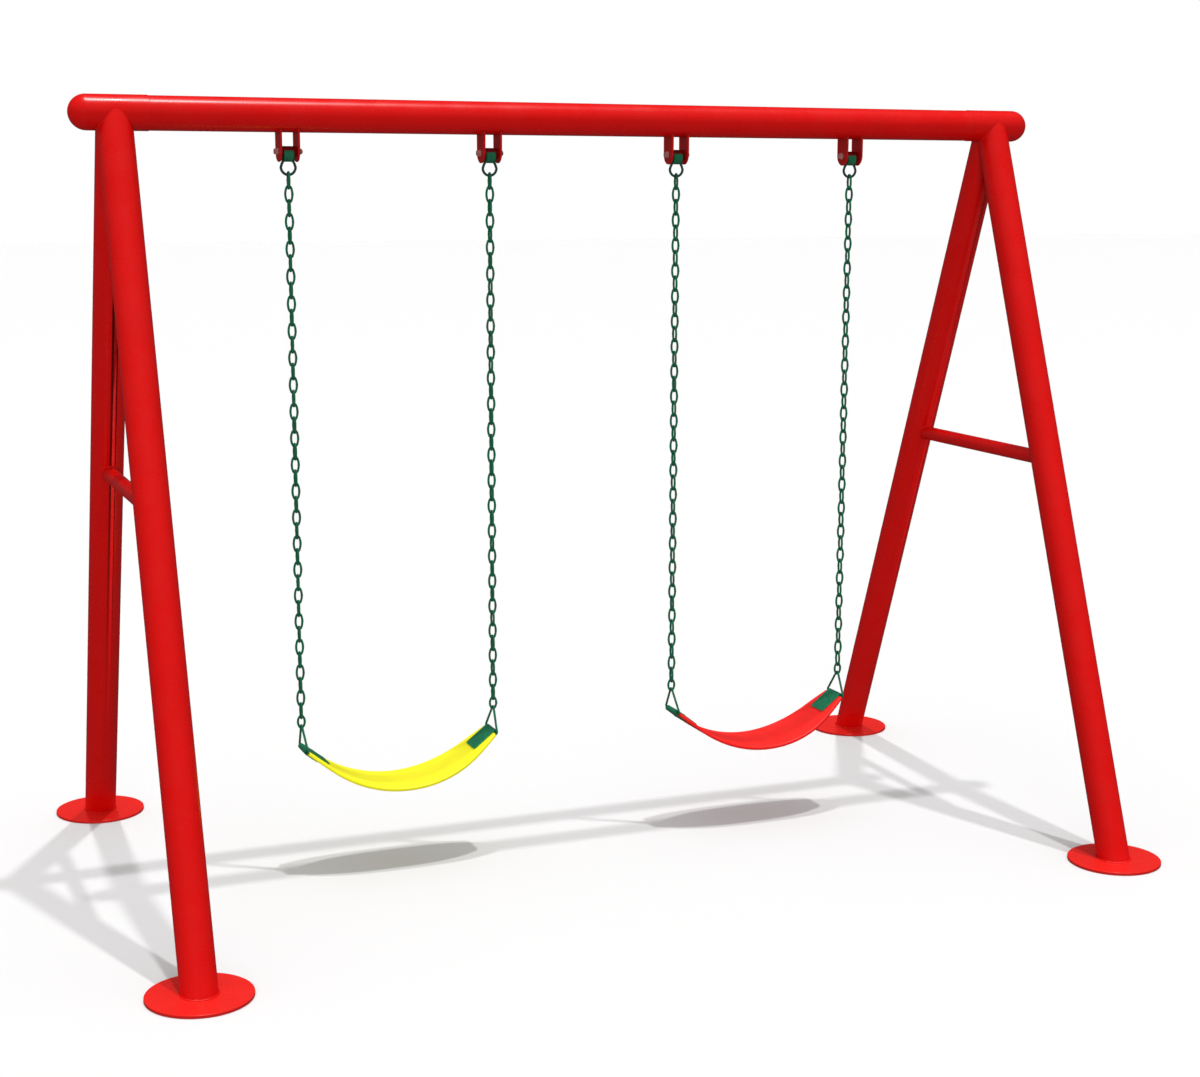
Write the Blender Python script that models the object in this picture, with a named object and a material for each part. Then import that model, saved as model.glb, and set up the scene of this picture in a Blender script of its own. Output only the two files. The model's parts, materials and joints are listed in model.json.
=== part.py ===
"""A two-seat swing set: tube A-frames and beam, four chains and two belt seats.

Metres. X runs along the beam, Y from front to back, Z up, and the ground is Z = 0. Every piece
is a separate object, and the pieces of a moving group share an empty that stands on its axis.
"""

from math import asin, atan2, cos, hypot, pi, radians, sin, sqrt, tan

import bmesh
import bpy
from mathutils import Matrix, Vector

GAP = 0.0003  # between pieces that touch

# Frame
BEAM_Z = 2.15
BEAM_RADIUS = 0.0462
BEAM_HALF_LENGTH = 1.40
LEG_RADIUS = 0.0471
TUBE_WALL = 0.003
HEAD_RADIUS = 0.0475
HEAD_SEAM_X = 1.265  # inner rim of the sleeve on the beam
HEAD_DOME_X = 1.426  # where the sleeve becomes the dome
LEG_X = 1.354
LEG_SPREAD = 0.799  # of a leg's axis at the ground, from the middle plane
FOOT_RADIUS = 0.135
FOOT_THICKNESS = 0.008
BRACE_Z = 1.145
BRACE_RADIUS = 0.022
BRACE_WALL = 0.0025

# Hangers
CHAIN_SPACING = 0.5815  # between all neighbouring chains
CHAIN_ROW_X = -0.0181  # middle of the row of chains
BOLT_Z = 2.053
BOLT_RADIUS = 0.005
HEX_RADIUS = 0.0088
HEX_HEIGHT = 0.0105  # of the bolt's head and of the nut, flange and all
FLANGE_RADIUS = 0.0105
FLANGE_THICKNESS = 0.0022
BOLT_TAIL = 0.002  # thread that shows past the nut
EAR_INNER = 0.022  # from the hanger's middle to an ear's inner face
EAR_THICKNESS = 0.0055
EAR_HALF_DEPTH = 0.0305
EAR_ROUND_Z = 2.0553  # centre of the ear's round end
HOLE_CLEARANCE = 0.0004
SLEEVE_RADIUS = 0.0145
BARREL_Z = 2.0437
BARREL_RADIUS = 0.0185
BARREL_HALF_LENGTH = 0.0136
RING_PIN_Z = 2.0328  # axis of the ring's top bar
RING_BORE_RADIUS = 0.0042
RING_TOP_HALF_WIDTH = 0.0177
RING_CORNER = 0.0022
RING_WAIST_Z = 2.0198
RING_HALF_WIDTH = 0.0205
RING_BOTTOM_Z = 1.9903
RING_WIRE_RADIUS = 0.0037

# Chains
WIRE_RADIUS = 0.0033  # of the links and the triangles
LINK_PITCH = 0.03738  # also the inside length of every link but the last
END_LINK_LENGTH = 0.028  # inside length of the last link
LINK_INNER_HALF_WIDTH = 0.0065
LINKS = 42
LINK_OVERLAP = 0.0004  # each middle link is shorter by this at both ends, to fuse with its neighbours

# Seats
TRIANGLE_HALF_BASE = 0.053
TRIANGLE_BASE_Z = 0.3655
TRIANGLE_BASE_INSET = 0.006  # the base lies this far inside the chain line
TRIANGLE_APEX_BEND = 0.007
TRIANGLE_BASE_BEND = 0.004
BELT_THICKNESS = 0.010
BELT_SLOPE = radians(38)
BELT_STRAIGHT = 0.080  # sloping end length, from the triangle's base
BELT_END_INSET = 0.0045
BELT_MIDDLE_HALF_WIDTH = 0.0945
BELT_END_HALF_WIDTH = 0.050
PLATE_THICKNESS = 0.003
PLATE_HALF_WIDTH = 0.038
PLATE_TOP_LENGTH = 0.079
PLATE_BOTTOM_LENGTH = 0.045

# Facets
TUBE_SIDES = 28
FOOT_SIDES = 40
SMALL_SIDES = 16
WIRE_SIDES = 6
BEND_STEPS = 4  # in a small bend
ROUND_STEPS = 10  # in a dome, an ear's end, a ring's half circle, a fold or half a belt
STRAIGHT_SHARES = (0.35, 0.7, 1)  # where the belt's straight end has sections
SAME_POINT = 1e-6
EMPTY_SIZE = 0.05

X_AXIS = Vector((1, 0, 0))
Y_AXIS = Vector((0, 1, 0))
Z_AXIS = Vector((0, 0, 1))

# Colour, metallic and roughness
FINISHES = {
    "red_paint": ((0.72, 0.012, 0.010, 1), 0.0, 0.32),
    "green_coat": ((0.010, 0.150, 0.075, 1), 0.0, 0.40),
    "dark_steel": ((0.035, 0.060, 0.050, 1), 0.7, 0.40),
    "zinc": ((0.45, 0.46, 0.47, 1), 1.0, 0.35),
    "yellow_belt": ((0.95, 0.80, 0.020, 1), 0.0, 0.50),
    "red_belt": ((0.80, 0.020, 0.015, 1), 0.0, 0.50),
}


def clear_scene():
    for obj in list(bpy.data.objects):
        bpy.data.objects.remove(obj, do_unlink=True)


def finish_material(name, finish):
    """A material of the piece's own, in one of the set's finishes."""
    colour, metallic, roughness = FINISHES[finish]
    material = bpy.data.materials.new(name)
    material.use_nodes = True
    shader = material.node_tree.nodes["Principled BSDF"]
    shader.inputs["Base Color"].default_value = colour
    shader.inputs["Metallic"].default_value = metallic
    shader.inputs["Roughness"].default_value = roughness
    material.diffuse_color = colour
    return material


def add_empty(name, location, parent=None):
    empty = bpy.data.objects.new(name, None)
    empty.empty_display_size = EMPTY_SIZE
    bpy.context.scene.collection.objects.link(empty)
    empty.location = location
    if parent:
        empty.parent = parent
        empty.matrix_parent_inverse = Matrix.Translation(-parent_point(parent))
    return empty


def parent_point(empty):
    """Where an empty of this script stands: none of them is rotated."""
    return Vector(empty.location)


def add_piece(name, bm, finish, axis=None):
    """Turns a mesh drawn in world coordinates into an object whose origin is on its axis."""
    bmesh.ops.remove_doubles(bm, verts=bm.verts, dist=SAME_POINT)
    bmesh.ops.recalc_face_normals(bm, faces=bm.faces)
    origin = parent_point(axis) if axis else Vector((0, 0, 0))
    bmesh.ops.translate(bm, verts=bm.verts, vec=-origin)
    mesh = bpy.data.meshes.new(name)
    bm.to_mesh(mesh)
    bm.free()
    mesh.shade_smooth()
    mesh.set_sharp_from_angle(angle=radians(35))
    mesh.materials.append(finish_material(name, finish))
    obj = bpy.data.objects.new(name, mesh)
    bpy.context.scene.collection.objects.link(obj)
    obj.location = origin
    if axis:
        obj.parent = axis
        obj.matrix_parent_inverse = Matrix.Translation(-origin)
    return obj


def add_cutter(name, bm):
    cutter = add_piece(name, bm, "zinc")
    cutter.hide_render = True
    cutter.display_type = "WIRE"
    return cutter


def cut(obj, *cutters):
    for cutter in cutters:
        modifier = obj.modifiers.new(cutter.name, "BOOLEAN")
        modifier.operation = "DIFFERENCE"
        modifier.object = cutter


def join(obj, *others):
    """Fuses others into obj, and keeps them as helpers that are not rendered."""
    for other in others:
        modifier = obj.modifiers.new(other.name, "BOOLEAN")
        modifier.operation = "UNION"
        modifier.object = other


def frame_matrix(origin, direction):
    """A frame at origin whose Z runs along direction."""
    return Matrix.Translation(origin) @ direction.to_track_quat("Z", "Y").to_matrix().to_4x4()


def cylinder(bm, start, end, radius, sides):
    """A solid cylinder between two points."""
    span = Vector(end) - Vector(start)
    matrix = frame_matrix((Vector(start) + Vector(end)) / 2, span.normalized())
    bmesh.ops.create_cone(
        bm,
        cap_ends=True,
        segments=sides,
        radius1=radius,
        radius2=radius,
        depth=span.length,
        matrix=matrix,
    )


def box(bm, low, high):
    low, high = Vector(low), Vector(high)
    matrix = Matrix.Translation((low + high) / 2) @ Matrix.Diagonal((*(high - low), 1))
    bmesh.ops.create_cube(bm, size=1, matrix=matrix)


def turned(profile, origin, direction, sides):
    """Revolves a closed profile of (radius, height) points about an axis."""
    bm = bmesh.new()
    matrix = frame_matrix(Vector(origin), Vector(direction).normalized())
    rings = []
    for radius, height in profile:
        if radius < SAME_POINT:
            rings.append([bm.verts.new(matrix @ Vector((0, 0, height)))])
            continue
        ring = []
        for i in range(sides):
            angle = 2 * pi * i / sides
            ring.append(bm.verts.new(matrix @ Vector((radius * cos(angle), radius * sin(angle), height))))
        rings.append(ring)
    for ring, after in zip(rings, rings[1:] + rings[:1]):
        if len(ring) == 1 and len(after) == 1:
            continue
        for i in range(sides):
            j = (i + 1) % sides
            corners = [ring[i % len(ring)], ring[j % len(ring)], after[j % len(after)], after[i % len(after)]]
            bm.faces.new(list(dict.fromkeys(corners)))
    return bm


def tube(start, end, radius, wall, sides):
    """A hollow tube between two points, open at both ends."""
    span = Vector(end) - Vector(start)
    bore = radius - wall
    profile = [(radius, 0), (radius, span.length), (bore, span.length), (bore, 0)]
    return turned(profile, start, span, sides)


def prism(outline, direction, thickness):
    """Extrudes a flat outline of points along direction."""
    bm = bmesh.new()
    step = Vector(direction) * thickness
    near = [bm.verts.new(point) for point in outline]
    far = [bm.verts.new(Vector(point) + step) for point in outline]
    bm.faces.new(near)
    bm.faces.new(far[::-1])
    for i in range(len(outline)):
        j = (i + 1) % len(outline)
        bm.faces.new([near[i], far[i], far[j], near[j]])
    return bm


def rounded(corners, bends):
    """A closed path through corners, each rounded with its own bend radius."""
    path = []
    count = len(corners)
    for i, (corner, bend) in enumerate(zip(corners, bends)):
        back = (corners[i - 1] - corner).normalized()
        ahead = (corners[(i + 1) % count] - corner).normalized()
        half = back.angle(ahead) / 2
        centre = corner + (back + ahead).normalized() * (bend / sin(half))
        start = corner + back * (bend / tan(half)) - centre
        end = corner + ahead * (bend / tan(half)) - centre
        sweep = start.angle(end)
        for step in range(BEND_STEPS + 1):
            part = step / BEND_STEPS
            mixed = start * sin((1 - part) * sweep) + end * sin(part * sweep)
            path.append(centre + mixed / sin(sweep))
    return path


def swept_loop(bm, path, normal, radius, sides=WIRE_SIDES, phase=0):
    """Draws a wire that follows a closed flat path, whose plane has this normal."""
    count = len(path)
    rings = []
    for i, point in enumerate(path):
        back = (point - path[i - 1]).normalized()
        ahead = (path[(i + 1) % count] - point).normalized()
        along = (back + ahead).normalized()
        across = normal.cross(along).normalized()
        stretch = 1 / cos(back.angle(ahead) / 2)
        ring = []
        for k in range(sides):
            angle = 2 * pi * (k + phase) / sides
            offset = across * (radius * cos(angle) * stretch) + normal * (radius * sin(angle))
            ring.append(bm.verts.new(point + offset))
        rings.append(ring)
    for ring, after in zip(rings, rings[1:] + rings[:1]):
        for k in range(sides):
            m = (k + 1) % sides
            bm.faces.new([ring[k], ring[m], after[m], after[k]])


def wire_loop(path, normal, radius=WIRE_RADIUS):
    """One closed loop of round wire."""
    bm = bmesh.new()
    swept_loop(bm, path, normal, radius - GAP / 2)
    return bm


# Frame


def head_cutter(side):
    bm = bmesh.new()
    reach = 2 * LEG_RADIUS
    start = (side * LEG_X - reach, 0, BEAM_Z)
    end = (side * LEG_X + reach, 0, BEAM_Z)
    cylinder(bm, start, end, HEAD_RADIUS + GAP, TUBE_SIDES)
    return add_cutter(f"head_cutter_{side}", bm)


def ground_cutter():
    bm = bmesh.new()
    reach = 2 * LEG_X
    box(bm, (-reach, -reach, -1), (reach, reach, FOOT_THICKNESS + GAP))
    return add_cutter("ground_cutter", bm)


def middle_cutter(depth):
    """All that lies past the mitre plane of a leg on the other side."""
    bm = bmesh.new()
    ends = sorted((depth * GAP / 2, -depth))
    box(bm, (-2 * LEG_X, ends[0], 0), (2 * LEG_X, ends[1], BEAM_Z + 1))
    return add_cutter(f"middle_cutter_{depth}", bm)


def leg_point(side, depth, height):
    """A point on a leg's axis."""
    return Vector((side * LEG_X, depth * LEG_SPREAD * (1 - height / BEAM_Z), height))


def build_beam():
    start = (-BEAM_HALF_LENGTH, 0, BEAM_Z)
    end = (BEAM_HALF_LENGTH, 0, BEAM_Z)
    add_piece("top_beam", tube(start, end, BEAM_RADIUS, TUBE_WALL, TUBE_SIDES), "red_paint")


def build_head(side_name, side):
    """A sleeve over the beam's end, closed by a dome."""
    bore = BEAM_RADIUS + GAP
    length = HEAD_DOME_X - HEAD_SEAM_X
    profile = [(HEAD_RADIUS, 0)]
    for step in range(ROUND_STEPS):
        angle = pi / 2 * step / ROUND_STEPS
        profile.append((HEAD_RADIUS * cos(angle), length + HEAD_RADIUS * sin(angle)))
    profile.append((0, length + HEAD_RADIUS))
    profile.append((0, length + bore))
    for step in range(BEND_STEPS - 1, -1, -1):
        angle = pi / 2 * step / BEND_STEPS
        profile.append((bore * cos(angle), length + bore * sin(angle)))
    profile.append((bore, 0))
    bm = turned(profile, (side * HEAD_SEAM_X, 0, BEAM_Z), (side, 0, 0), TUBE_SIDES)
    add_piece(f"{side_name}_head", bm, "red_paint")


def build_leg(name, side, depth, *cutters):
    below = leg_point(side, depth, -2 * LEG_RADIUS)
    top = leg_point(side, depth, BEAM_Z)
    leg = add_piece(name, tube(below, top, LEG_RADIUS, TUBE_WALL, TUBE_SIDES), "red_paint")
    cut(leg, *cutters)


def build_foot(name, side, depth):
    base = leg_point(side, depth, 0)
    bm = bmesh.new()
    cylinder(bm, base, base + Z_AXIS * FOOT_THICKNESS, FOOT_RADIUS, FOOT_SIDES)
    add_piece(name, bm, "red_paint")


def leg_cutter(side, depth):
    bm = bmesh.new()
    reach = 2 * LEG_RADIUS
    start = leg_point(side, depth, BRACE_Z - reach)
    end = leg_point(side, depth, BRACE_Z + reach)
    cylinder(bm, start, end, LEG_RADIUS + GAP, TUBE_SIDES)
    return add_cutter(f"leg_cutter_{side}_{depth}", bm)


def build_brace(side_name, side):
    start = leg_point(side, -1, BRACE_Z)
    end = leg_point(side, 1, BRACE_Z)
    brace = add_piece(
        f"{side_name}_cross_brace",
        tube(start, end, BRACE_RADIUS, BRACE_WALL, SMALL_SIDES),
        "red_paint",
    )
    cut(brace, leg_cutter(side, -1), leg_cutter(side, 1))


def build_frame():
    build_beam()
    ground = ground_cutter()
    middles = {depth: middle_cutter(depth) for depth in (-1, 1)}
    for side_name, side in (("left", -1), ("right", 1)):
        build_head(side_name, side)
        head = head_cutter(side)
        for depth_name, depth in (("front", -1), ("rear", 1)):
            build_leg(f"{side_name}_{depth_name}_leg", side, depth, head, middles[depth], ground)
            build_foot(f"{side_name}_{depth_name}_foot", side, depth)
        build_brace(side_name, side)


# Hangers


def ear_outline(x):
    """A tab with a round lower end, in the plane across the beam."""
    top = BEAM_Z - BEAM_RADIUS / 2
    outline = [Vector((x, EAR_HALF_DEPTH, top)), Vector((x, -EAR_HALF_DEPTH, top))]
    for step in range(ROUND_STEPS + 1):
        angle = pi * (1 + step / ROUND_STEPS)
        y = EAR_HALF_DEPTH * cos(angle)
        outline.append(Vector((x, y, EAR_ROUND_Z + EAR_HALF_DEPTH * sin(angle))))
    return outline


def beam_cutter():
    bm = bmesh.new()
    cylinder(bm, (-LEG_X, 0, BEAM_Z), (LEG_X, 0, BEAM_Z), BEAM_RADIUS + GAP, TUBE_SIDES)
    return add_cutter("beam_cutter", bm)


def bolt_cutter(name, x):
    bm = bmesh.new()
    reach = EAR_INNER + 2 * EAR_THICKNESS
    start = (x - reach, 0, BOLT_Z)
    end = (x + reach, 0, BOLT_Z)
    cylinder(bm, start, end, BOLT_RADIUS + HOLE_CLEARANCE, SMALL_SIDES)
    return add_cutter(f"{name}_bolt_cutter", bm)


def build_ears(name, x, beam, hole):
    for ear_name, start in (("ear_a", x - EAR_INNER - EAR_THICKNESS), ("ear_b", x + EAR_INNER)):
        ear = add_piece(f"{name}_{ear_name}", prism(ear_outline(start), X_AXIS, EAR_THICKNESS), "red_paint")
        cut(ear, beam, hole)


def flanged_hexagon(name, face, way):
    """A hexagon with a round flange that lies against the ear's face, and grows outwards from it."""
    blank = bmesh.new()
    cylinder(blank, (face + way * FLANGE_THICKNESS / 2, 0, BOLT_Z), (face + way * HEX_HEIGHT, 0, BOLT_Z), HEX_RADIUS, 6)
    flange = bmesh.new()
    cylinder(flange, (face, 0, BOLT_Z), (face + way * FLANGE_THICKNESS, 0, BOLT_Z), FLANGE_RADIUS, SMALL_SIDES)
    hexagon = add_piece(name, blank, "zinc")
    join(hexagon, add_cutter(f"{name}_flange", flange))
    return hexagon


def build_bolt(name, x):
    """A hexagon bolt: its head is outside ear a, and its thread ends just past the nut."""
    face = x - EAR_INNER - EAR_THICKNESS - GAP
    tip = x + EAR_INNER + EAR_THICKNESS + HEX_HEIGHT + 2 * GAP + BOLT_TAIL
    bolt = flanged_hexagon(f"{name}_pivot_bolt", face, -1)
    shank = bmesh.new()
    cylinder(shank, (face - HEX_HEIGHT / 2, 0, BOLT_Z), (tip, 0, BOLT_Z), BOLT_RADIUS, SMALL_SIDES)
    join(bolt, add_cutter(f"{name}_shank", shank))


def build_nut(name, x):
    face = x + EAR_INNER + EAR_THICKNESS + GAP
    nut = flanged_hexagon(f"{name}_pivot_nut", face, 1)
    bore = bmesh.new()
    ends = (face - HEX_HEIGHT, face + 2 * HEX_HEIGHT)
    cylinder(bore, (ends[0], 0, BOLT_Z), (ends[1], 0, BOLT_Z), BOLT_RADIUS + HOLE_CLEARANCE, SMALL_SIDES)
    cut(nut, add_cutter(f"{name}_nut_bore", bore))


def build_sleeve(name, x, axis):
    half = EAR_INNER - GAP
    bore = BOLT_RADIUS + HOLE_CLEARANCE
    bm = tube((x - half, 0, BOLT_Z), (x + half, 0, BOLT_Z), SLEEVE_RADIUS, SLEEVE_RADIUS - bore, SMALL_SIDES)
    add_piece(f"{name}_pivot_sleeve", bm, "red_paint", axis)


def build_barrel(name, x, axis):
    """The round body welded under the sleeve, bored for the ring's top bar."""
    half = BARREL_HALF_LENGTH
    wall = BARREL_RADIUS - RING_BORE_RADIUS
    bm = bmesh.new()
    cylinder(bm, (x - half, 0, BARREL_Z), (x + half, 0, BARREL_Z), BARREL_RADIUS, SMALL_SIDES)
    barrel = add_piece(f"{name}_barrel", bm, "green_coat", axis)
    bore = bmesh.new()
    reach = half + wall
    cylinder(bore, (x - reach, 0, RING_PIN_Z), (x + reach, 0, RING_PIN_Z), RING_BORE_RADIUS, SMALL_SIDES)
    saddle = bmesh.new()
    cylinder(saddle, (x - reach, 0, BOLT_Z), (x + reach, 0, BOLT_Z), SLEEVE_RADIUS + GAP, SMALL_SIDES)
    cut(barrel, add_cutter(f"{name}_ring_bore", bore), add_cutter(f"{name}_saddle", saddle))


def ring_path(x):
    """A D standing in the plane of the beam: a straight bar on top, a half circle below."""
    corner = RING_CORNER
    top = RING_TOP_HALF_WIDTH
    round_z = RING_BOTTOM_Z + RING_HALF_WIDTH
    path = [
        Vector((x - top + corner, 0, RING_PIN_Z)),
        Vector((x + top - corner, 0, RING_PIN_Z)),
        Vector((x + top, 0, RING_PIN_Z - corner)),
        Vector((x + top, 0, RING_WAIST_Z)),
    ]
    for step in range(ROUND_STEPS + 1):
        angle = -pi * step / ROUND_STEPS
        path.append(Vector((x + RING_HALF_WIDTH * cos(angle), 0, round_z + RING_HALF_WIDTH * sin(angle))))
    path.append(Vector((x - top, 0, RING_WAIST_Z)))
    path.append(Vector((x - top, 0, RING_PIN_Z - corner)))
    return path


def build_ring(name, x, axis):
    add_piece(f"{name}_ring", wire_loop(ring_path(x), Y_AXIS, RING_WIRE_RADIUS), "dark_steel", axis)


# Chains


def link_length(number):
    """Inside length of a link."""
    return END_LINK_LENGTH if number == LINKS else LINK_PITCH


def link_z(number):
    """Height of a link's centre. Link 1 hangs on the ring, and link 42 carries the triangle."""
    first = RING_BOTTOM_Z + RING_WIRE_RADIUS - LINK_PITCH / 2
    shorter = LINK_PITCH - link_length(number)
    return first - (number - 1) * LINK_PITCH + shorter / 2


def link_across(number):
    """Odd links stand across the beam, and even ones along it."""
    return Y_AXIS if number % 2 else X_AXIS


def round_link(x, number):
    """One oval link of round wire, for the ends of a chain."""
    across = link_across(number)
    bend = LINK_INNER_HALF_WIDTH + WIRE_RADIUS
    half = link_length(number) / 2 + WIRE_RADIUS - bend
    centre = Vector((x, 0, link_z(number)))
    path = []
    for end in (1, -1):
        for step in range(2 * BEND_STEPS + 1):
            angle = pi * step / (2 * BEND_STEPS)
            offset = across * (bend * cos(angle)) + Z_AXIS * (half + bend * sin(angle))
            path.append(centre + offset * end)
    return wire_loop(path, across.cross(Z_AXIS))


def plain_links(x, numbers):
    """Middle links, each an eight-cornered loop of square wire."""
    wide = LINK_INNER_HALF_WIDTH + WIRE_RADIUS
    tall = LINK_PITCH / 2 + WIRE_RADIUS - LINK_OVERLAP
    cut_off = wide * (1 - tan(pi / 8))
    half_path = [(wide, tall - cut_off), (wide - cut_off, tall), (cut_off - wide, tall), (-wide, tall - cut_off)]
    half_diagonal = (WIRE_RADIUS - GAP / 2) * sqrt(2)
    bm = bmesh.new()
    for number in numbers:
        across = link_across(number)
        centre = Vector((x, 0, link_z(number)))
        path = [centre + (across * a + Z_AXIS * b) * end for end in (1, -1) for a, b in half_path]
        swept_loop(bm, path, across.cross(Z_AXIS), half_diagonal, sides=4, phase=0.5)
    return bm


def build_chain(name, x, axis):
    """All links but the last, fused where they touch."""
    chain = add_piece(f"{name}_chain", plain_links(x, range(3, LINKS - 1, 2)), "green_coat", axis)
    between = add_cutter(f"{name}_even_links", plain_links(x, range(2, LINKS - 1, 2)))
    first = add_cutter(f"{name}_first_link", round_link(x, 1))
    last = add_cutter(f"{name}_last_link", round_link(x, LINKS - 1))
    join(chain, between, first, last)


def build_end_link(name, x, axis):
    add_piece(f"{name}_end_link", round_link(x, LINKS), "green_coat", axis)


# Seats


def apex_z():
    """Centre of the triangle's wire where it lies on the end link."""
    return link_z(LINKS) - END_LINK_LENGTH / 2 + WIRE_RADIUS


def build_triangle(name, x, inward, axis):
    """A bent wire triangle that leans inwards from the end link to the end plate."""
    base = Vector((x + inward * TRIANGLE_BASE_INSET, 0, TRIANGLE_BASE_Z))
    top = Vector((x, 0, apex_z()))
    up = (top - base).normalized()
    height = (top - base).length
    bend = TRIANGLE_APEX_BEND
    # Tangent condition between the apex bend's circle and a line from the base corner
    drop = height - bend
    corner_angle = atan2(drop, TRIANGLE_HALF_BASE) + asin(bend / hypot(TRIANGLE_HALF_BASE, drop))
    peak = base + up * (TRIANGLE_HALF_BASE * tan(corner_angle))
    corners = [base - Y_AXIS * TRIANGLE_HALF_BASE, base + Y_AXIS * TRIANGLE_HALF_BASE, peak]
    path = rounded(corners, (TRIANGLE_BASE_BEND, TRIANGLE_BASE_BEND, bend))
    add_piece(f"{name}_triangle", wire_loop(path, Y_AXIS.cross(up)), "green_coat", axis)


def slope_frame(x, inward):
    """The base wire's centre, the way along the belt's end and the way up off it."""
    base = Vector((x + inward * TRIANGLE_BASE_INSET, 0, TRIANGLE_BASE_Z))
    along = Vector((inward * cos(BELT_SLOPE), 0, -sin(BELT_SLOPE)))
    off = Vector((inward * sin(BELT_SLOPE), 0, cos(BELT_SLOPE)))
    return base, along, off


def build_end_plate(name, x, inward, axis):
    """A sheet folded round the triangle's base, with the belt's end between its two leaves."""
    base, along, off = slope_frame(x, inward)
    inner = BELT_THICKNESS / 2 + GAP
    outer = inner + PLATE_THICKNESS
    outline = [base + along * PLATE_TOP_LENGTH + off * outer]
    for radius, turns in ((outer, range(ROUND_STEPS + 1)), (inner, range(ROUND_STEPS, -1, -1))):
        for step in turns:
            angle = pi * step / ROUND_STEPS
            outline.append(base - along * (radius * sin(angle)) + off * (radius * cos(angle)))
        if radius == outer:
            outline.append(base + along * PLATE_BOTTOM_LENGTH - off * outer)
            outline.append(base + along * PLATE_BOTTOM_LENGTH - off * inner)
    outline.append(base + along * PLATE_TOP_LENGTH + off * inner)
    outline = [point - Y_AXIS * PLATE_HALF_WIDTH for point in outline]
    add_piece(f"{name}_end_plate", prism(outline, Y_AXIS, 2 * PLATE_HALF_WIDTH), "green_coat", axis)


def belt_line(half_chord):
    """Points and upward normals along half of the belt's middle line, from its lowest point."""
    arc_start = half_chord - BELT_STRAIGHT * cos(BELT_SLOPE)
    radius = arc_start / sin(BELT_SLOPE)
    low_z = TRIANGLE_BASE_Z - BELT_STRAIGHT * sin(BELT_SLOPE) - radius * (1 - cos(BELT_SLOPE))
    line = []
    for step in range(ROUND_STEPS + 1):
        angle = BELT_SLOPE * step / ROUND_STEPS
        point = Vector((radius * sin(angle), 0, low_z + radius * (1 - cos(angle))))
        line.append((point, Vector((-sin(angle), 0, cos(angle)))))
    slope = Vector((cos(BELT_SLOPE), 0, sin(BELT_SLOPE)))
    normal = line[-1][1]
    last = line[-1][0]
    for part in STRAIGHT_SHARES:
        line.append((last + slope * (BELT_STRAIGHT - BELT_END_INSET) * part, normal))
    return line


def belt_half_width(share):
    """Wide over the middle and drawn in towards the end. share runs from 0 to 1."""
    spread = BELT_MIDDLE_HALF_WIDTH - BELT_END_HALF_WIDTH
    return BELT_MIDDLE_HALF_WIDTH - spread * share**3


def build_belt(name, left_x, right_x, finish, axis):
    middle = (left_x + right_x) / 2
    half_chord = (right_x - left_x) / 2 - TRIANGLE_BASE_INSET
    half = belt_line(half_chord)
    mirror = Matrix.Diagonal((-1, 1, 1))
    whole = [(mirror @ point, mirror @ normal) for point, normal in half[:0:-1]] + half
    end_x = half[-1][0].x
    bm = bmesh.new()
    sections = []
    for point, normal in whole:
        centre = point + X_AXIS * middle
        width = belt_half_width(abs(point.x) / end_x)
        offset = normal * (BELT_THICKNESS / 2)
        section = []
        for depth, way in ((-1, -1), (1, -1), (1, 1), (-1, 1)):
            section.append(bm.verts.new(centre + Y_AXIS * (depth * width) + offset * way))
        sections.append(section)
    for section, after in zip(sections, sections[1:]):
        for i in range(4):
            j = (i + 1) % 4
            bm.faces.new([section[i], section[j], after[j], after[i]])
    bm.faces.new(sections[0])
    bm.faces.new(sections[-1])
    add_piece(f"{name}_belt", bm, finish, axis)


def build_swing(name, left_x, belt_finish, beam):
    """One seat with its two chains and hangers, and the empties its groups turn on."""
    right_x = left_x + CHAIN_SPACING
    middle = (left_x + right_x) / 2
    swing = add_empty(f"{name}_swing_axis", (middle, 0, BOLT_Z))
    sway_z = RING_BOTTOM_Z + 2 * WIRE_RADIUS
    level_z = link_z(LINKS - 1) - LINK_PITCH / 2 - WIRE_RADIUS
    tilt_z = link_z(LINKS) - END_LINK_LENGTH / 2 - WIRE_RADIUS
    sways = {
        left_x: add_empty(f"{name}_left_sway_axis", (left_x, 0, sway_z), swing),
        right_x: add_empty(f"{name}_right_sway_axis", (right_x, 0, sway_z), swing),
    }
    levels = add_empty(f"{name}_level_axis", (left_x, 0, level_z), sways[left_x])
    tilt = add_empty(f"{name}_tilt_axis", (middle, 0, tilt_z), levels)
    for side_name, x, inward in (("left", left_x, 1), ("right", right_x, -1)):
        hanger = f"{name}_{side_name}"
        build_ears(hanger, x, beam, bolt_cutter(hanger, x))
        build_bolt(hanger, x)
        build_nut(hanger, x)
        build_sleeve(hanger, x, swing)
        build_barrel(hanger, x, swing)
        build_ring(hanger, x, swing)
        build_chain(hanger, x, sways[x])
        build_end_link(hanger, x, levels)
        build_triangle(hanger, x, inward, tilt)
        build_end_plate(hanger, x, inward, tilt)
    build_belt(name, left_x, right_x, belt_finish, tilt)


def main():
    clear_scene()
    build_frame()
    beam = beam_cutter()
    first_x = CHAIN_ROW_X - 1.5 * CHAIN_SPACING
    build_swing("left_swing", first_x, "yellow_belt", beam)
    build_swing("right_swing", first_x + 2 * CHAIN_SPACING, "red_belt", beam)


main()
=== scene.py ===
"""The looks of a two-seat swing set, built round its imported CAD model.

Metres, in the frame of the CAD: X runs along the beam, Y from front to back, Z up, and the ground
is Z = 0. A finer piece of the same size stands for each CAD node, and rides on the node's body.
Places and main sizes are read from the nodes' boxes. The sizes below are what a box doesn't show.
"""

import json
from math import asin, atan2, cos, hypot, pi, radians, sin, sqrt, tan
from random import Random

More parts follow.
